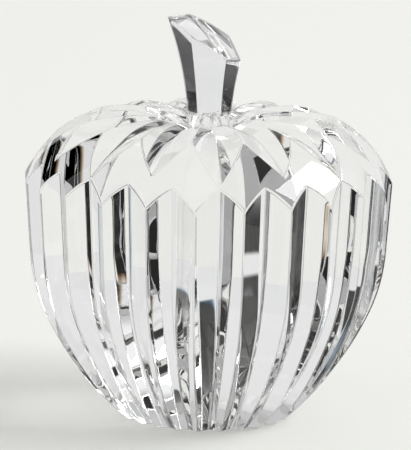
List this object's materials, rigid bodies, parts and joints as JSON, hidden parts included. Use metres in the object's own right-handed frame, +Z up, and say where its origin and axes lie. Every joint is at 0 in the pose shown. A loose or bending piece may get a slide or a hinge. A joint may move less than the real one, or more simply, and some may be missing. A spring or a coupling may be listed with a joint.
{
  "type": "cut-glass apple",
  "caption": "Solid clear cut-crystal apple ornament with upright mitre flutes, leaf cuts round the dimple and a flared hexagonal stem; stands on its flat base.",
  "frame": {"origin": "middle of the flat base, on the apple's axis", "axes": "+Z up along the apple's axis; -Y is the front, where a long leaf cut faces; +X is to the right of the front"},
  "size_m": [0.0886, 0.0886, 0.0974],
  "materials": {
    "crystal": "acid-polished clear lead crystal",
    "clear_bond": "clear cured adhesive"
  },
  "bodies": {
    "root": {"apple_body": "crystal", "stem": "crystal", "stem_bond": "clear_bond"}
  },
  "joints": []
}
